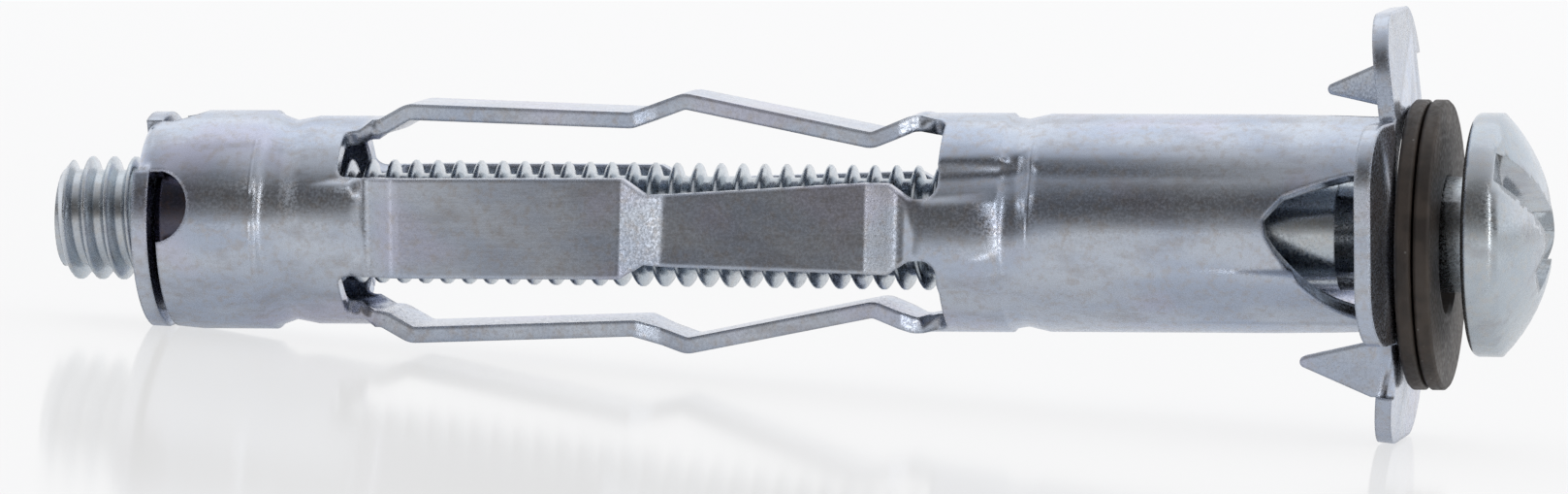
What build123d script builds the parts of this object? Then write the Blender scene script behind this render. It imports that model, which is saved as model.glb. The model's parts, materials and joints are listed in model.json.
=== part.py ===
from build123d import *
import math
import os

# Hollow wall anchor: a sleeve of sheet steel, rolled and stamped in one piece, holds a round nut
# in its tail, and a pan-head screw with two loose washers runs through it.
# X is the screw's axis with the head towards +X. Z is up. The origin lies on the axis, in the
# plane of the flange face that meets the wall. Angles run round X from the front (-Y) up to +Z.

# Sheet and barrel
sheet = 0.5
barrel_radius = 3.4
flange_bend = 0.15
seam_gap = 0.08
seam_angle = 225.0

# Tail collar, its folded end cap and the two relief holes beside the fold
sleeve_length = 39.55
cap_face_x = -sleeve_length
cap_radius = 3.4
cap_hole_radius = 2.15
cap_slit = 0.28
cap_neck_angle = 50.5
cap_neck_half_angle = 19.7
tail_radius = 3.45
tail_draw_in = 0.07
tail_draw_length = 0.8
relief_radius = 1.15

# Rolled grooves
groove_step = 0.1
groove_step_length = 0.06
tail_groove_x = cap_face_x + 3.95
tail_neck_x = cap_face_x + 4.6
tail_neck_radius = 3.14
ring_x = cap_face_x + 5.35
ring_radius = 3.28
front_collar_radius = 3.42
front_groove_x = -12.0
front_neck_x = front_groove_x + 0.5
front_neck_radius = 3.24
barrel_start_x = front_groove_x + 1.2
roll_radius = 0.3

# Legs: flat strips between four slots, listed from the tail to the front
leg_count = 4
leg_half_width = 1.55
slot_tail_x = cap_face_x + 6.5
slot_corner = 0.35
crease_x = cap_face_x + 7.4
leg_neck_x = -14.75
leg_length = leg_neck_x - crease_x
crease_drop = 0.02
flattening = 0.45
leg_foot_x = crease_x + 0.066 * leg_length
leg_foot_rise = 0.5
shoulder_x = crease_x + 0.477 * leg_length
shoulder_drop = 0.25
knee_x = crease_x + 0.569 * leg_length
knee_rise = 0.58
knee_half_width = 1.07
hinge_x = crease_x + 0.914 * leg_length
hinge_drop = 1.2
hinge_half_width = 1.39
leg_neck_rise = 0.51
leg_neck_half_width = 0.95
slot_front_x = leg_neck_x + 0.85
relief_corner = 0.5
leg_bend = 0.55
leg_corner = 0.25

# Flange lobes, the barbs on two of them, and the windows under them
lobe_half_width = 3.4
lobe_reach = 6.7
lobe_corner = 1.9
lobe_fold = 3.48
lobe_lean = 6.0
flange_corner = 0.35
barb_length = 2.85
barb_start = 3.4
barb_end = 5.15
barb_tip = 4.3
barb_tip_radius = 0.18
barb_bend = 0.3
window_depth = 3.66
window_wide_up = 31.0
window_wide_down = 58.0
window_narrow_half = 13.0
window_narrow_angle = 94.0

# Nut
nut_clearance = 0.04
nut_length = 2.9
nut_chamfer = 0.25
thread_clearance = 0.05

# Screw
screw_overhang = 2.95
thread_radius = 1.95
thread_end_x = leg_neck_x + 1.75
tip_chamfer = 0.3
shank_radius = 1.74
neck_radius = 1.8
neck_start_x = -1.65
head_seat_x = 2.5
head_radius = 3.78
head_side = 0.88
head_dome = 1.54
head_round = 0.22
drive_slot_width = 1.05
drive_slot_depth = 1.45
drive_slot_angle = 39.5
drive_wing_width = 1.0
drive_wing_reach = 2.15
drive_wing_taper = 1.1
drive_wing_depth = 1.9

# The screw sags in the wide sleeve, so the nut, screw and washers lean together, in degrees
screw_sag = 0.45

# Washers
washer_radius = 4.5
washer_hole_radius = 2.15
washer_thickness = 0.5
washer_edge = 0.08
washer_gap = 0.08
washer_rest_gap = 0.02

cap_inner_x = cap_face_x + sheet
tail_tube_x = cap_inner_x + cap_slit
leg_step = 360.0 / leg_count


def turned(shape, angle):
    # The shape is built with its outward direction along +Z.
    return Rot(X=90.0 - angle) * shape


def sector(face, centre, half):
    # The face is drawn in XY with Y as the radius.
    return Rot(X=180.0 - half - centre) * revolve(face, Axis.X, 2.0 * half)


def wall_face(outer_points, outer_radii, inner_points, inner_radii):
    outer = FilletPolyline(*outer_points, radius=outer_radii)
    inner = FilletPolyline(*inner_points, radius=inner_radii)
    ends = [Line(outer @ 0, inner @ 0), Line(outer @ 1, inner @ 1)]
    return make_face([*outer.edges(), *inner.edges(), *ends])


def block(x_from, x_to, r_from, r_to):
    return Pos((x_from + x_to) / 2, (r_from + r_to) / 2) * Rectangle(x_to - x_from, r_to - r_from)


def slot_cutter(x_from, x_to, centre, half, corner, rounded_x):
    wedge = sector(block(x_from, x_to, barrel_radius / 2, barrel_radius * 2), centre, half)
    rounded = []
    for edge in wedge.edges().filter_by(GeomType.LINE):
        if abs(edge.center().X - rounded_x) < sheet / 100:
            rounded.append(edge)
    return fillet(rounded, corner)


def radial_cutter(outline, centre):
    # The outline gives x and angle, and each side of the cut runs straight towards the axis.
    sections = []
    for distance in (barrel_radius / 2, barrel_radius * 2):
        points = []
        for x, angle in outline:
            points.append((x, distance * math.tan(math.radians(angle - centre)), distance))
        sections.append(make_face(Polyline(*points, close=True)))
    return turned(loft(sections, ruled=True), centre)


def end_section(x, half_angle, r_out):
    # One end of a leg, still curved like the tube it leaves.
    r_in = r_out - sheet
    half = math.radians(half_angle)
    corners = []
    for r in (r_out, r_in):
        for side in (-1, 1):
            corners.append((x, side * r * math.sin(half), r * math.cos(half)))
    outer = ThreePointArc(corners[0], (x, 0, r_out), corners[1])
    inner = ThreePointArc(corners[2], (x, 0, r_in), corners[3])
    return make_face([outer, Line(corners[1], corners[3]), inner, Line(corners[2], corners[0])])


def flat_section(x, half_width, z_out):
    plane = Plane(origin=(x, 0, z_out - sheet / 2), x_dir=(0, 1, 0), z_dir=(1, 0, 0))
    return plane * Rectangle(2 * half_width, sheet)


# Tail tube with its rolled groove, up to where the legs flatten
tail_end_x = crease_x - flattening
tail_outer = [
    (tail_tube_x, tail_radius - tail_draw_in),
    (tail_tube_x + tail_draw_length, tail_radius),
    (tail_groove_x, tail_radius),
    (tail_groove_x + groove_step_length, tail_radius - groove_step),
    (tail_neck_x, tail_neck_radius),
    (ring_x, ring_radius),
    (tail_end_x, ring_radius),
]
tail_inner = []
for x, r in tail_outer:
    tail_inner.append((x, r - sheet))
tail_radii = [roll_radius, 0, 0, roll_radius, roll_radius]
tail_tube = revolve(wall_face(tail_outer, tail_radii, tail_inner, tail_radii), Axis.X)
slot_half = leg_step / 2 - math.degrees(math.asin(leg_half_width / ring_radius))
for i in range(leg_count):
    tail_tube -= slot_cutter(slot_tail_x, tail_end_x + sheet, (i + 0.5) * leg_step,
                             slot_half, slot_corner, slot_tail_x)
relief_x = cap_inner_x + cap_slit / 2
relief_half = math.degrees(math.asin(relief_radius / tail_radius))
for side in (-1, 1):
    relief = Pos(relief_x, 0, tail_radius) * Cylinder(relief_radius, 2 * tail_radius - 2 * sheet)
    tail_tube -= turned(relief, cap_neck_angle + side * (cap_neck_half_angle + relief_half))

# End cap: a disc folded over the nut on one narrow neck
cap = revolve(block(cap_face_x, cap_inner_x, cap_hole_radius, cap_radius), Axis.X)
neck_outer_radius = tail_radius - tail_draw_in
neck_root_x = tail_tube_x + groove_step
neck_outer = [
    (neck_root_x, neck_outer_radius),
    (cap_face_x, neck_outer_radius),
    (cap_face_x, cap_radius - 2 * sheet),
]
neck_inner = [
    (neck_root_x, neck_outer_radius - sheet),
    (cap_inner_x, neck_outer_radius - sheet),
    (cap_inner_x, cap_radius - 2 * sheet),
]
neck_face = wall_face(neck_outer, [sheet + flange_bend / 3], neck_inner, [flange_bend / 3])
neck = sector(neck_face, cap_neck_angle, cap_neck_half_angle)
cap_corner = sector(block(cap_face_x - sheet, cap_inner_x, neck_outer_radius - sheet,
                          2 * barrel_radius), cap_neck_angle, cap_neck_half_angle)

# Front tube: collar, groove and barrel, flared into the flange
front_end_x = leg_neck_x + flattening
flare_radius = barrel_radius + flange_bend
front_outer = [
    (front_end_x, front_collar_radius),
    (front_groove_x, front_collar_radius),
    (front_groove_x + groove_step_length, front_collar_radius - groove_step),
    (front_neck_x, front_neck_radius),
    (barrel_start_x, barrel_radius),
    (0, barrel_radius),
    (0, flare_radius + flange_bend),
]
front_inner = []
for x, r in front_outer[:5]:
    front_inner.append((x, r - sheet))
front_inner.append((sheet, barrel_radius - sheet))
front_inner.append((sheet, flare_radius + flange_bend))
front_radii = [0, 0, roll_radius, roll_radius]
front_tube = revolve(wall_face(front_outer, [*front_radii, flange_bend],
                               front_inner, [*front_radii, sheet + flange_bend]), Axis.X)
neck_half_angle = math.degrees(math.asin(leg_neck_half_width / front_collar_radius))
for i in range(leg_count):
    front_tube -= slot_cutter(front_end_x - sheet, slot_front_x, (i + 0.5) * leg_step,
                              leg_step / 2 - neck_half_angle, relief_corner, slot_front_x)

# One leg: the bent strip, cut to its outline, with an end that blends into each tube
foot_z = ring_radius - crease_drop
plateau_z = foot_z + leg_foot_rise
shoulder_z = plateau_z - shoulder_drop
knee_z = shoulder_z + knee_rise
hinge_z = knee_z - hinge_drop
neck_z = hinge_z + leg_neck_rise
leg_line = FilletPolyline(
    (crease_x, foot_z - sheet / 2),
    (crease_x + leg_corner, foot_z - sheet / 2),
    (leg_foot_x, plateau_z - sheet / 2),
    (shoulder_x, shoulder_z - sheet / 2),
    (knee_x, knee_z - sheet / 2),
    (hinge_x, hinge_z - sheet / 2),
    (leg_neck_x - leg_corner, neck_z - sheet / 2),
    (leg_neck_x, neck_z - sheet / 2),
    radius=leg_bend)
leg_strip = extrude(Plane.XZ * trace(leg_line, sheet), leg_half_width * 2, both=True)
step_x = (knee_x - shoulder_x) / 2
leg_sides = []
for side in (1, -1):
    edge = [
        (crease_x, leg_half_width),
        (shoulder_x, leg_half_width),
        (shoulder_x + step_x, knee_half_width),
        (hinge_x, hinge_half_width),
        (hinge_x + step_x, hinge_half_width),
        (leg_neck_x, leg_neck_half_width),
    ]
    edge = [(x, side * y) for x, y in edge]
    leg_sides.extend(edge if side > 0 else reversed(edge))
leg_outline = make_face(Polyline(*leg_sides, close=True))
inner_corners = [v for v in leg_outline.vertices()
                 if crease_x + sheet < v.X < leg_neck_x - sheet]
leg_outline = fillet(inner_corners, leg_corner)
leg = leg_strip & extrude(leg_outline, 2 * barrel_radius)
tail_half_angle = math.degrees(math.asin(leg_half_width / ring_radius))
leg += loft([end_section(tail_end_x, tail_half_angle, ring_radius),
             flat_section(crease_x, leg_half_width, foot_z)])
leg += loft([flat_section(leg_neck_x, leg_neck_half_width, neck_z),
             end_section(front_end_x, neck_half_angle, front_collar_radius)])

# Flange: a square centre with four lobes that lean back, two of them with a folded barb
flange = Plane.YZ * Rectangle(2 * lobe_fold, 2 * lobe_fold)
flange = extrude(fillet(flange.vertices(), flange_corner), sheet)
lobe_face = Plane.YZ * Pos(0, (lobe_fold + lobe_reach) / 2) * Rectangle(
    2 * lobe_half_width, lobe_reach - lobe_fold)
lobe_tips = lobe_face.vertices().sort_by(Axis.Z)[-2:]
lobe = extrude(fillet(lobe_tips, lobe_corner), sheet)
barb_line = FilletPolyline(
    (sheet / 2, lobe_half_width - 2 * sheet - barb_bend),
    (sheet / 2, lobe_half_width - sheet / 2),
    (-barb_length, lobe_half_width - sheet / 2),
    radius=barb_bend + sheet / 2)
barb_strip = extrude(trace(barb_line, sheet), lobe_reach)
barb_outline = make_face(Polyline(
    (sheet, barb_start), (-flange_bend, barb_start), (-barb_length, barb_tip),
    (-flange_bend, barb_end), (sheet, barb_end), close=True))
barb_tips = barb_outline.vertices().sort_by(Axis.X)[:1]
barb_outline = fillet(barb_tips, barb_tip_radius)
barb = barb_strip & extrude(Plane.XZ * barb_outline, 2 * lobe_half_width, both=True)
bend_reach = barb_bend + sheet
bend_room = Pos(sheet / 2, lobe_half_width - bend_reach / 2, (barb_start + barb_end) / 2) * Box(
    2 * sheet, bend_reach, barb_end - barb_start)
barbed_lobe = (lobe - bend_room) + barb
for i in range(leg_count):
    piece = barbed_lobe if i % 2 else lobe
    leaned = Pos(sheet, 0, lobe_fold) * Rot(Y=-lobe_lean) * Pos(-sheet, 0, -lobe_fold) * piece
    flange += turned(leaned, i * leg_step)
flange -= Pos(sheet / 2) * Rot(Y=90) * Cylinder(flare_radius, 2 * sheet)

# Windows pressed out of the barrel beside the flange
window_wide = [
    (0, window_wide_up),
    (-0.28 * window_depth, window_wide_up),
    (-0.83 * window_depth, 0.6 * window_wide_up),
    (-window_depth, 0.2 * window_wide_up),
    (-0.98 * window_depth, -0.05 * window_wide_down),
    (-0.91 * window_depth, -0.19 * window_wide_down),
    (-0.66 * window_depth, -0.57 * window_wide_down),
    (-0.43 * window_depth, -0.82 * window_wide_down),
    (-0.19 * window_depth, -window_wide_down),
    (0, -1.04 * window_wide_down),
]
window_narrow = [
    (0, window_narrow_angle - window_narrow_half),
    (-window_depth, window_narrow_angle - 0.25 * window_narrow_half),
    (-window_depth, window_narrow_angle + 0.25 * window_narrow_half),
    (0, window_narrow_angle + window_narrow_half),
]
for half_turn in (0, 180):
    wide = radial_cutter(window_wide, (window_wide_up - window_wide_down) / 2)
    narrow = radial_cutter(window_narrow, window_narrow_angle)
    front_tube -= Rot(X=half_turn) * wide
    front_tube -= Rot(X=half_turn) * narrow

# The sleeve is one sheet, so its two long edges meet in a butt seam
seam_length = sheet - tail_tube_x + cap_slit
seam = Pos(sheet - seam_length / 2 + cap_slit / 2, 0, barrel_radius * 1.25) * Box(
    seam_length, seam_gap, barrel_radius * 1.5)
seam = turned(seam, seam_angle)
sleeve = tail_tube - seam
sleeve += (cap - cap_corner) + neck
for i in range(leg_count):
    sleeve += turned(leg, i * leg_step)
sleeve += (front_tube + flange) - seam

# Nut, loose in the tail behind the end cap
nut_radius = tail_radius - tail_draw_in - sheet - nut_clearance
nut_x = cap_inner_x + nut_clearance
bore_radius = thread_radius + thread_clearance
nut_face = chamfer(block(nut_x, nut_x + nut_length, bore_radius, nut_radius).vertices(), nut_chamfer)
nut = revolve(nut_face, Axis.X)

# Screw
tip_x = cap_face_x - screw_overhang
side_x = head_seat_x + head_side
crown_x = side_x + head_dome
dome_radius = (head_radius ** 2 + head_dome ** 2) / (2 * head_dome)
dome_half = math.asin(head_radius / dome_radius) / 2
dome_mid = (crown_x - dome_radius * (1 - math.cos(dome_half)), dome_radius * math.sin(dome_half))
screw_line = Polyline(
    (crown_x, 0), (tip_x, 0),
    (tip_x, thread_radius - tip_chamfer), (tip_x + tip_chamfer, thread_radius),
    (thread_end_x, thread_radius), (thread_end_x + thread_radius - shank_radius, shank_radius),
    (neck_start_x, shank_radius), (neck_start_x, neck_radius), (head_seat_x, neck_radius),
    (head_seat_x, head_radius - head_round))
head_edge = JernArc((head_seat_x, head_radius - head_round), (0, 1), head_round, -90)
head_wall = Line(head_edge @ 1, (side_x, head_radius))
dome = ThreePointArc((side_x, head_radius), dome_mid, (crown_x, 0))
screw = revolve(make_face([*screw_line.edges(), head_edge, head_wall, dome]), Axis.X)
slot_top = crown_x + sheet
slot_floor = crown_x - drive_slot_depth
drive_slot = Pos((slot_top + slot_floor) / 2, 0, 0) * Box(
    slot_top - slot_floor, drive_slot_width, 3 * head_radius)
screw -= turned(drive_slot, drive_slot_angle)
wing_floor = crown_x - drive_wing_depth
wing_profile = make_face(Polyline(
    (slot_top, -drive_wing_reach), (slot_top, drive_wing_reach),
    (wing_floor, drive_wing_reach - drive_wing_taper),
    (wing_floor, drive_wing_taper - drive_wing_reach), close=True))
wing = extrude(Plane.XZ * wing_profile, drive_wing_width / 2, both=True)
for quarter in (0, 90):
    screw -= turned(wing, drive_slot_angle + quarter)

# Washers, hanging on the screw's neck
washer_drop = washer_hole_radius - neck_radius - washer_rest_gap
washer_face = chamfer(block(0, washer_thickness, washer_hole_radius, washer_radius).vertices(),
                      washer_edge)
washer = Pos(0, 0, -washer_drop) * revolve(washer_face, Axis.X)
inner_washer = Pos(sheet + washer_gap) * washer
outer_washer = Pos(sheet + washer_thickness + 2 * washer_gap) * washer

nut_centre_x = nut_x + nut_length / 2
sag = Pos(nut_centre_x) * Rot(Y=screw_sag) * Pos(-nut_centre_x)
nodes = {
    "sleeve": sleeve,
    "nut": sag * nut,
    "screw": sag * screw,
    "inner_washer": sag * inner_washer,
    "outer_washer": sag * outer_washer,
}
os.makedirs("parts", exist_ok=True)
for name, shape in nodes.items():
    export_step(shape, f"parts/{name}.step")
    print(name, len(shape.solids()), "solid", round(shape.volume, 3), "mm3")
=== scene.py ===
import json
import math

import bmesh
import bpy
from mathutils import Matrix, Vector


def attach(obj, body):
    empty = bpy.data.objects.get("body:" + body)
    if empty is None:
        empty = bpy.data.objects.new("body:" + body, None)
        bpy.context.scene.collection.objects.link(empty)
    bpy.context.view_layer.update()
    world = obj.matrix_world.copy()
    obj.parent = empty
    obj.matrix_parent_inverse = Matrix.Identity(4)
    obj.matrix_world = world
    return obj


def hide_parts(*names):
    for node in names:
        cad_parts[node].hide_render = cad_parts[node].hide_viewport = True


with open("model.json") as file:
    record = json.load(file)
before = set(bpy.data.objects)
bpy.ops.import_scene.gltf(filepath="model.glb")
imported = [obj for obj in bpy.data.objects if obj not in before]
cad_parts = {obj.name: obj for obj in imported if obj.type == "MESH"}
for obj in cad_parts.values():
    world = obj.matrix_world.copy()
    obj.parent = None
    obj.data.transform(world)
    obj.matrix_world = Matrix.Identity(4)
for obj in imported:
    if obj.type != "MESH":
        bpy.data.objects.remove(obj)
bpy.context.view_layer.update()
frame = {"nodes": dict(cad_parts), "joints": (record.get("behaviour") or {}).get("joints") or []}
print("frame loaded")

mm = 0.001
pictureSize = (1617.0, 509.0)

# The camera stands just above the anchor, off to the head's side, and looks at the anchor's
# middle through a long lens
cameraPlan = {
    "place": (51.4, -360.0, 27.5),      # mm
    "yaw": 11.11,                       # degrees to the left of straight on
    "pitch": -4.41,
    "roll": -0.59,
    "lens": 269.6,
    "sensor": 36.0,
    "clip": (0.01, 10.0),               # m
    "point": (0.0, 0.0, 0.0),           # mm, the point that the picture shows at the pixel below
    "pixel": (1439.0, 231.0),
}


def addCamera(p):
    cam = bpy.data.cameras.new("studioCamera")
    cam.sensor_fit = "HORIZONTAL"
    cam.sensor_width = p["sensor"]
    cam.lens = p["lens"]
    cam.clip_start, cam.clip_end = p["clip"]
    obj = bpy.data.objects.new("studioCamera", cam)
    bpy.context.scene.collection.objects.link(obj)
    turn = (Matrix.Rotation(math.radians(p["yaw"]), 4, "Z")
            @ Matrix.Rotation(math.radians(90.0 + p["pitch"]), 4, "X")
            @ Matrix.Rotation(math.radians(p["roll"]), 4, "Z"))
    obj.matrix_world = Matrix.Translation(Vector(p["place"]) * mm) @ turn
    # A lens shift close to zero puts the point exactly on its pixel
    seen = obj.matrix_world.inverted() @ (Vector(p["point"]) * mm)
    across = cam.lens / cam.sensor_width / -seen.z
    cam.shift_x = seen.x * across - (p["pixel"][0] / pictureSize[0] - 0.5)
    cam.shift_y = seen.y * across - (0.5 * pictureSize[1] - p["pixel"][1]) / pictureSize[0]
    bpy.context.scene.camera = obj


addCamera(cameraPlan)
bpy.context.scene.view_settings.view_transform = "Standard"
print("camera placed")


class Wire:
    # Wraps one output socket, so that shader maths reads as a Python expression
    def __init__(self, tree, socket):
        self.tree = tree
        self.socket = socket

    def node(self, kind, settings=None, **inputs):
        made = self.tree.nodes.new(kind)
        for name, value in (settings or {}).items():
            if name == "stops":
                # The ends are coloured first, because each new stop shifts the numbers of those after it
                ramp = made.color_ramp
                ramp.elements[0].color = value[0][1]
                ramp.elements[1].color = value[-1][1]
                for place, shade in value[1:-1]:
                    ramp.elements.new(place).color = shade
            else:
                setattr(made, name, value)
        for name, value in inputs.items():
            # i0, i1 and so on name an input by its place, for nodes that give several the same name
            key = int(name[1:]) if name[0] == "i" and name[1:].isdigit() else name
            target = made.inputs[key]
            if isinstance(value, Wire):
                self.tree.links.new(value.socket, target)
            else:
                target.default_value = value
        return made

    def out(self, kind, settings=None, which=0, **inputs):
        return Wire(self.tree, self.node(kind, settings, **inputs).outputs[which])

    def math(self, operation, other):
        return self.out("ShaderNodeMath", {"operation": operation}, i0=self, i1=other)

    def __add__(self, other):
        return self.math("ADD", other)

    def __sub__(self, other):
        return self.math("SUBTRACT", other)

    def __mul__(self, other):
        return self.math("MULTIPLY", other)

    def __truediv__(self, other):
        return self.math("DIVIDE", other)

    def near(self, place, far, close):
        # 1 within close of the place, fading to 0 at far, all in mm
        return (self - place * mm).math("ABSOLUTE", 0.0).ramp(far * mm, close * mm)

    def ramp(self, low, high, outLow=0.0, outHigh=1.0):
        return self.out("ShaderNodeMapRange", {"interpolation_type": "SMOOTHSTEP"}, i0=self,
                        i1=low, i2=high, i3=outLow, i4=outHigh)

    def blend(self, a, b):
        return self.out("ShaderNodeMix", {"data_type": "RGBA"}, which=2, i0=self, i6=a, i7=b)

    def split(self):
        parts = self.node("ShaderNodeSeparateXYZ", i0=self)
        return [Wire(self.tree, parts.outputs[i]) for i in range(3)]

    def noise(self, size, detail=3.0, rough=0.55, along=1.0):
        # The size is in mm, and along under 1 draws the pattern out along the sleeve
        place = self.out("ShaderNodeMapping", i0=self, i3=(along, 1.0, 1.0))
        return place.out("ShaderNodeTexNoise", {"noise_dimensions": "3D"}, Vector=place,
                         Scale=1.0 / (size * mm), Detail=detail, Roughness=rough)

    def voronoi(self, size):
        return self.out("ShaderNodeTexVoronoi", {"feature": "F1"}, Vector=self,
                        Scale=1.0 / (size * mm))


def newMaterial(name):
    mat = bpy.data.materials.new(name)
    mat.use_nodes = True
    tree = mat.node_tree
    shader = tree.nodes["Principled BSDF"]
    coords = tree.nodes.new("ShaderNodeTexCoord")
    return mat, shader, Wire(tree, coords.outputs["Object"])


def plug(shader, name, value):
    if isinstance(value, Wire):
        value.tree.links.new(value.socket, shader.inputs[name])
    else:
        shader.inputs[name].default_value = value


reliefPlan = {
    "distance": 0.02,       # mm
    "samples": 6,
}


def bumped(place, height, strength, edge, p=reliefPlan):
    # Fine relief on top of softly rounded edges
    soft = place.out("ShaderNodeBevel", {"samples": p["samples"]}, Radius=edge * mm)
    return place.out("ShaderNodeBump", Height=height, Strength=strength,
                     Distance=p["distance"] * mm, Normal=soft)


sheetLook = {
    "clean": (0.62, 0.67, 0.755, 1.0),
    "blue": (0.51, 0.575, 0.70, 1.0),
    "violet": (0.62, 0.60, 0.74, 1.0),
    "warm": (0.50, 0.47, 0.46, 1.0),
    "stain": (0.40, 0.40, 0.43, 1.0),
    "roughness": (0.15, 0.33),
    # Patterns: size in mm, detail, roughness of the noise, scale along the sleeve (under 1 is longer)
    "grain": (0.085, 2.0, 0.6, 1.0),        # the finest mottle of the plating
    "mottle": (0.272, 3.0, 0.6, 1.0),
    "streak": (0.17, 2.0, 0.6, 0.12),       # rolling marks
    "dent": (2.6, 1.0, 0.4, 1.0),           # slight waves left by rolling
    "cloud": (1.8, 3.0, 0.5, 0.5),          # broad change between the clean and the blue tone
    "haze": (3.6, 2.0, 0.55, 1.0),
    "smudge": (0.9, 4.0, 0.65, 0.4),
    "cloudRamp": (0.35, 0.65),              # noise values between which the change takes place
    "grainRamp": (0.3, 0.7),
    # Tints laid over that change: pattern, colour, where it starts and is full, share
    "tints": [
        ("haze", "violet", 0.52, 0.68, 0.5),
        ("mottle", "warm", 0.45, 0.72, 0.55),
        ("smudge", "stain", 0.50, 0.70, 0.45),
    ],
    # Height of each pattern in the relief
    "relief": {"grain": 0.35, "mottle": 0.7, "streak": 0.6, "dent": 4.0},
    "strength": 0.13,
    "edge": 0.18,                           # mm, radius of the softened edges
    "creases": (-35.76, -11.05),            # mm along the sleeve, where the tool left a raised line
    "creaseWidth": 0.07,
    "creaseHeight": 22.0,
    "coined": -31.95,                       # mm, the pitted strip at the root of the legs
    "coinedFade": (0.16, 0.08),
    "pit": 0.16,
    "pitReach": 0.5,
    "pitDepth": 3.0,
}


def zincMaterial(name, look):
    mat, shader, place = newMaterial(name)
    tone = place.noise(*look["cloud"]).ramp(*look["cloudRamp"]).blend(look["blue"], look["clean"])
    for pattern, colour, start, full, share in look["tints"]:
        tone = (place.noise(*look[pattern]).ramp(start, full) * share).blend(tone, look[colour])
    plug(shader, "Base Color", tone)
    plug(shader, "Metallic", 1.0)
    plug(shader, "Roughness", place.noise(*look["grain"]).ramp(*look["grainRamp"], *look["roughness"]))
    height = 0.0
    for pattern, share in look["relief"].items():
        height = place.noise(*look[pattern]) * share + height
    along = place.split()[0]
    for at in look["creases"]:
        height = height + along.near(at, look["creaseWidth"], 0.0) * look["creaseHeight"]
    if look["coined"]:
        pits = place.voronoi(look["pit"]).ramp(0.0, look["pitReach"], 1.0, 0.0)
        height = height - along.near(look["coined"], *look["coinedFade"]) * pits * look["pitDepth"]
    plug(shader, "Normal", bumped(place, height, look["strength"], look["edge"]))
    return mat


# The turned parts are smoother, with neither rolling waves nor stamped lines
turnedLook = dict(
    sheetLook,
    clean=(0.62, 0.67, 0.71, 1.0),
    blue=(0.52, 0.58, 0.64, 1.0),
    violet=(0.57, 0.60, 0.66, 1.0),
    warm=(0.60, 0.59, 0.57, 1.0),
    relief={"grain": 0.35, "mottle": 0.7, "streak": 0.6},
    strength=0.07,
    edge=0.10,
    creases=(),
    coined=None,
)
# The nut is seen only through the openings, where it lies in shade, so its colours are painted shade:
# near-black in place of its own zinc
nutShadeLook = dict(
    turnedLook,
    clean=(0.16, 0.15, 0.16, 1.0),
    blue=(0.08, 0.09, 0.13, 1.0),
    violet=(0.10, 0.09, 0.13, 1.0),
    warm=(0.15, 0.10, 0.08, 1.0),
    stain=(0.08, 0.07, 0.07, 1.0),
)
sheetZinc = zincMaterial("sheetZinc", sheetLook)
turnedZinc = zincMaterial("turnedZinc", turnedLook)
# Painted shade: this material is near-black to stand for the shade inside the sleeve, not the nut's own
# zinc
nutPaintedShade = zincMaterial("nutPaintedShade", nutShadeLook)

washerLook = {
    "dark": (0.045, 0.035, 0.029, 1.0),
    "brown": (0.085, 0.066, 0.053, 1.0),
    "dust": (0.32, 0.30, 0.28, 1.0),
    "roughness": (0.40, 0.62),
    "cloud": (1.2, 3.0),        # size in mm and detail of the noise
    "speck": 0.35,              # mm between specks of dust
    "patch": (0.9, 2.0),        # where the dust lies
    "polish": (0.15, 2.0),
    "grain": (0.12, 2.0),
    # Noise values between which each pattern fades in
    "cloudRamp": (0.4, 0.62),
    "speckRamp": (0.07, 0.14),
    "patchRamp": (0.46, 0.58),
    "polishRamp": (0.3, 0.7),
    "dustShare": 0.7,
    "strength": 0.25,
    "edge": 0.10,
}


def washerMaterial(name, look):
    mat, shader, place = newMaterial(name)
    specks = place.voronoi(look["speck"]).ramp(*look["speckRamp"], 1.0, 0.0)
    dust = specks * place.noise(*look["patch"]).ramp(*look["patchRamp"]) * look["dustShare"]
    tone = place.noise(*look["cloud"]).ramp(*look["cloudRamp"]).blend(look["dark"], look["brown"])
    plug(shader, "Base Color", dust.blend(tone, look["dust"]))
    plug(shader, "Metallic", 0.0)
    plug(shader, "Roughness", place.noise(*look["polish"]).ramp(*look["polishRamp"], *look["roughness"]))
    plug(shader, "Normal", bumped(place, place.noise(*look["grain"]), look["strength"], look["edge"]))
    return mat


darkWasher = washerMaterial("darkWasher", washerLook)
print("materials made")

copyPlan = {
    "gap": 0.0005,          # mm, points closer than this become one
    "flat": 1.0,            # degrees, faces closer than this to one plane become one
}


def mergedCopy(node, p=copyPlan):
    form = bmesh.new()
    form.from_mesh(frame["nodes"][node].data)
    bmesh.ops.remove_doubles(form, verts=form.verts, dist=p["gap"] * mm)
    bmesh.ops.dissolve_limit(form, angle_limit=math.radians(p["flat"]), verts=form.verts, edges=form.edges)
    return form


def asPiece(name, form, mat, smoothAngle=35.0):
    mesh = bpy.data.meshes.new(name)
    form.to_mesh(mesh)
    form.free()
    for face in mesh.polygons:
        face.use_smooth = True
    mesh.set_sharp_from_angle(angle=math.radians(smoothAngle))
    mesh.materials.append(mat)
    piece = bpy.data.objects.new(name, mesh)
    bpy.context.scene.collection.objects.link(piece)
    return piece


def cutAcross(form, place, outward):
    bmesh.ops.bisect_plane(form, geom=form.verts[:] + form.edges[:] + form.faces[:],
                           plane_co=place, plane_no=outward, clear_outer=True)


def closeRims(form):
    bmesh.ops.holes_fill(form, edges=[e for e in form.edges if e.is_boundary], sides=0)


# The screw sags in the sleeve, so its thread is built along X and then leant onto the joint's axis
joints = {joint["name"]: joint for joint in frame["joints"]}
sagPivot = Vector(joints["screw_turn"]["pos_m"])
sagAxis = Vector(joints["screw_turn"]["axis"])
sagLean = Vector((1.0, 0.0, 0.0)).rotation_difference(sagAxis).to_matrix()
sagTurn = Matrix.Translation(sagPivot) @ sagLean.to_4x4() @ Matrix.Translation(-sagPivot)

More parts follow.
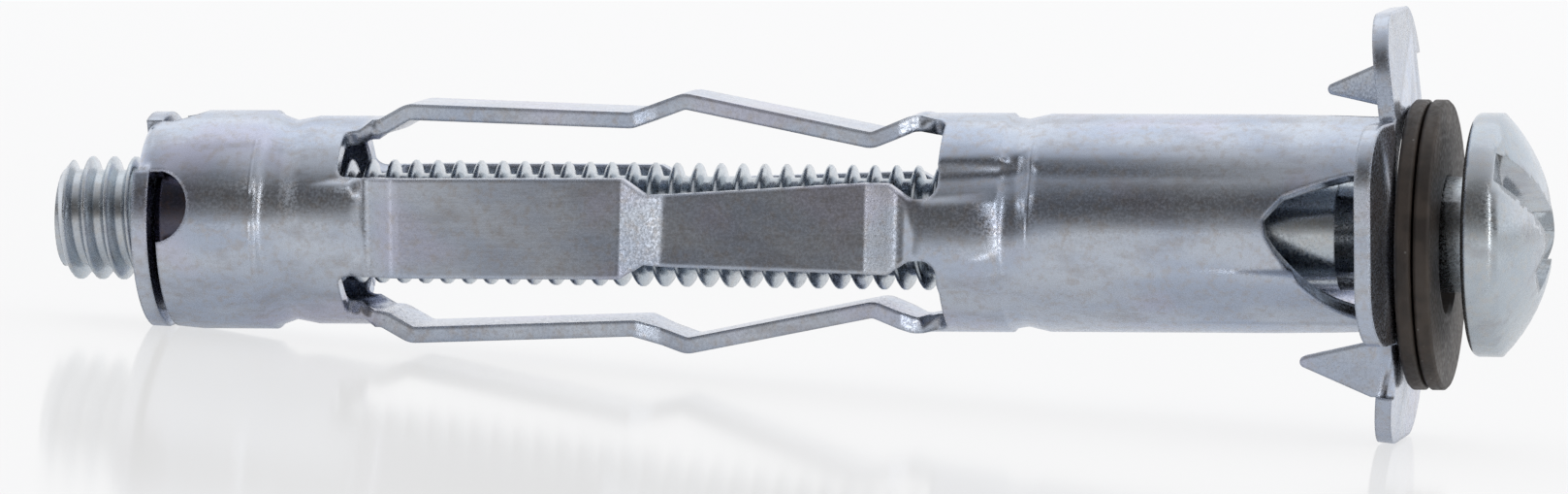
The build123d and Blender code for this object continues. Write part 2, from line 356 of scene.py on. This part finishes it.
threadPlan = {
    "pitch": 0.7,
    "major": 1.95,
    "minor": 1.53,
    "tip": -42.5,
    "end": -13.0,
    "early": 1.2,          # turns wound ahead of the tip, then cut off
    "spare": 2,            # turns more than the length needs, then cut off
    "runOut": 1.3,         # mm over which the thread rises out of the shank
    "root": 1.72,          # mm, where the thread ends, just inside the shank's radius
    "tipRadius": 1.55,     # mm at the very tip
    "tipSlope": 1.1,
    "steps": 36,           # in each turn
    "weld": 0.001,         # mm
    "overlap": 0.1,        # mm by which the shank covers the thread's end
    "smooth": 40.0,        # degrees
    # Share of the pitch, share of the depth
    "profile": [(0.0, 0.0), (0.1, 0.0), (0.3, 0.85), (0.38, 1.0), (0.48, 1.0), (0.56, 0.85),
                (0.76, 0.0), (1.0, 0.0)],
}


def buildThread(p):
    form = bmesh.new()
    depth = p["major"] - p["minor"]
    line = []
    for along, share in p["profile"]:
        x = p["tip"] - (p["early"] - along) * p["pitch"]
        line.append(form.verts.new((x * mm, 0.0, (p["minor"] + share * depth) * mm)))
    edges = [form.edges.new(pair) for pair in zip(line, line[1:])]
    turns = math.ceil((p["end"] - p["tip"]) / p["pitch"]) + p["spare"]
    bmesh.ops.spin(form, geom=line + edges, cent=(0.0, 0.0, 0.0), axis=(1.0, 0.0, 0.0),
                   dvec=(p["pitch"] * mm / p["steps"], 0.0, 0.0),
                   angle=turns * 2.0 * math.pi, steps=turns * p["steps"], use_duplicate=False)
    bmesh.ops.remove_doubles(form, verts=form.verts, dist=p["weld"] * mm)
    for x, side in ((p["tip"], -1.0), (p["end"], 1.0)):
        cutAcross(form, (x * mm, 0.0, 0.0), (side, 0.0, 0.0))
    for v in form.verts:
        x = v.co.x / mm
        radius = math.hypot(v.co.y, v.co.z) / mm
        fade = min(max((p["end"] - x) / p["runOut"], 0.0), 1.0)
        wanted = p["root"] + (radius - p["root"]) * fade
        wanted = min(wanted, p["tipRadius"] + (x - p["tip"]) * p["tipSlope"])
        v.co.y *= wanted / radius
        v.co.z *= wanted / radius
    closeRims(form)
    bmesh.ops.recalc_face_normals(form, faces=form.faces)
    bmesh.ops.transform(form, matrix=sagTurn, verts=form.verts)
    return form


def buildHead(p):
    # The solid screw without the plain cylinder that stands for its thread
    form = mergedCopy("screw")
    cutAt = sagTurn @ Vector(((p["end"] - p["overlap"]) * mm, 0.0, 0.0))
    cutAcross(form, cutAt, sagTurn.to_3x3() @ Vector((-1.0, 0.0, 0.0)))
    closeRims(form)
    return form


threadPiece = asPiece("screwThread", buildThread(threadPlan), turnedZinc, threadPlan["smooth"])
headPiece = asPiece("screwHead", buildHead(threadPlan), turnedZinc)
for piece in (threadPiece, headPiece):
    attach(piece, "driven")
    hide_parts("screw")
print("screw made")

legTwist = {
    "tilt": 10.0,                       # degrees that the front leg's face looks up
    "from": -31.0,                      # mm along the leg
    "to": -10.0,
    "fade": 1.5,
    "reach": 1.9,                       # mm to either side of the leg's middle
    "front": -1.5,                      # mm, all that lies before this is the front leg
}


def twistFrontLeg(form, p):
    # Stamping leaves the leg that faces the camera turned a little out of square
    for v in form.verts:
        x, y, z = v.co / mm
        if y < p["front"] and abs(z) < p["reach"]:
            inside = min((x - p["from"]) / p["fade"], (p["to"] - x) / p["fade"], 1.0)
            v.co.y += max(inside, 0.0) * z * mm * math.tan(math.radians(p["tilt"]))
    return form


sleevePiece = asPiece("sleeveSheet", twistFrontLeg(mergedCopy("sleeve"), legTwist), sheetZinc)
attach(sleevePiece, "shell")
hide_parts("sleeve")
print("sleeve made")

for node, title in (("inner_washer", "innerWasher"), ("outer_washer", "outerWasher")):
    washer = asPiece(title, mergedCopy(node), darkWasher)
    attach(washer, "turning")
    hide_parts(node)
# The nut wears the near-black painted-shade material
nutPiece = asPiece("nutBody", mergedCopy("nut"), nutPaintedShade)
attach(nutPiece, "shell")
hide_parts("nut")
print("washers and nut made")

# The anchor rests on its lowest lobe and on the tail collar, and the floor touches both
floorPlan = {
    "lobe": (-0.34, 0.0, -6.683),       # mm
    "collar": (-38.0, 0.0, -3.451),     # mm
    "half": 3.0,                        # m
    "paper": (0.9, 0.9, 0.9, 1.0),
    "roughness": 0.10,
    "glowSeen": 0.62,                   # share of plain white in what the camera sees
    "glowMirrored": 0.38,               # and in what the metal mirrors
}


def addFloor(p):
    lobe = Vector(p["lobe"]) * mm
    collar = Vector(p["collar"]) * mm
    tilt = math.atan2(lobe.z - collar.z, lobe.x - collar.x)
    grid = bmesh.new()
    bmesh.ops.create_grid(grid, x_segments=1, y_segments=1, size=p["half"])
    mesh = bpy.data.meshes.new("floor")
    grid.to_mesh(mesh)
    grid.free()
    mesh.transform(Matrix.Translation(lobe) @ Matrix.Rotation(-tilt, 4, "Y"))
    floor = bpy.data.objects.new("floor", mesh)
    bpy.context.scene.collection.objects.link(floor)
    mat, shader, place = newMaterial("floorPaper")
    plug(shader, "Base Color", p["paper"])
    plug(shader, "Roughness", p["roughness"])
    glow = place.node("ShaderNodeEmission", Color=(1.0, 1.0, 1.0, 1.0))
    ray = place.node("ShaderNodeLightPath")
    tree = mat.node_tree
    camera = Wire(tree, ray.outputs["Is Camera Ray"])
    glossy = Wire(tree, ray.outputs["Is Glossy Ray"])
    mirrored = glossy.math("MAXIMUM", Wire(tree, ray.outputs["Is Transmission Ray"]))
    seen = camera * p["glowSeen"] + mirrored * p["glowMirrored"]
    mix = place.node("ShaderNodeMixShader", i0=seen)
    tree.links.new(shader.outputs[0], mix.inputs[1])
    tree.links.new(glow.outputs[0], mix.inputs[2])
    tree.links.new(mix.outputs[0], tree.nodes["Material Output"].inputs["Surface"])
    mesh.materials.append(mat)


addFloor(floorPlan)

# What the metal mirrors, by the angle round the sleeve: from the horizon before the anchor (0),
# through the dim room above the camera and the pale ceiling (0.5), to the bright wall behind (1)
roomPlan = {
    "strength": 0.95,
    "stops": [
        (0.0, (0.64, 0.63, 0.62, 1.0)),
        (0.03, (0.46, 0.45, 0.44, 1.0)),
        (0.065, (0.25, 0.24, 0.235, 1.0)),
        (0.12, (0.14, 0.135, 0.13, 1.0)),
        (0.20, (0.12, 0.115, 0.115, 1.0)),
        (0.27, (0.23, 0.23, 0.23, 1.0)),
        (0.36, (0.50, 0.50, 0.51, 1.0)),
        (0.46, (0.68, 0.68, 0.70, 1.0)),
        (0.58, (0.78, 0.79, 0.81, 1.0)),
        (0.75, (0.93, 0.94, 0.96, 1.0)),
        (1.0, (1.10, 1.10, 1.12, 1.0)),
    ],
}


def addWorld(p):
    world = bpy.data.worlds.new("studio")
    world.use_nodes = True
    bpy.context.scene.world = world
    tree = world.node_tree
    background = tree.nodes["Background"]
    way = Wire(tree, tree.nodes.new("ShaderNodeTexCoord").outputs["Generated"])
    deep, up = way.split()[1:]
    angle = up.math("ARCTAN2", deep * -1.0) / math.pi
    room = angle.out("ShaderNodeValToRGB", {"stops": p["stops"]}, i0=angle)
    tree.links.new(room.socket, background.inputs["Color"])
    background.inputs["Strength"].default_value = p["strength"]
    # The camera itself sees plain white
    white = way.node("ShaderNodeBackground", Color=(1.0, 1.0, 1.0, 1.0))
    ray = way.node("ShaderNodeLightPath")
    mix = way.node("ShaderNodeMixShader", i0=Wire(tree, ray.outputs["Is Camera Ray"]))
    tree.links.new(background.outputs[0], mix.inputs[1])
    tree.links.new(white.outputs[0], mix.inputs[2])
    tree.links.new(mix.outputs[0], tree.nodes["World Output"].inputs["Surface"])


lampTarget = (-0.02, 0.0, 0.0)
# Name, place in m, width and height in m, watts
lamps = [
    ("overhead", (-0.02, 0.14, 0.30), (0.50, 0.25), 0.10),
    ("tailSide", (-0.30, -0.24, 0.03), (0.04, 0.45), 0.09),
    ("headSide", (0.24, -0.20, 0.07), (0.02, 0.30), 0.08),
]


def addLight(name, place, size, power):
    lamp = bpy.data.lights.new(name, "AREA")
    lamp.shape = "RECTANGLE"
    lamp.size, lamp.size_y = size
    lamp.energy = power
    obj = bpy.data.objects.new(name, lamp)
    bpy.context.scene.collection.objects.link(obj)
    place = Vector(place)
    aim = (Vector(lampTarget) - place).to_track_quat("-Z", "Y")
    obj.matrix_world = Matrix.Translation(place) @ aim.to_matrix().to_4x4()


addWorld(roomPlan)
for lamp in lamps:
    addLight(*lamp)
print("studio lit")
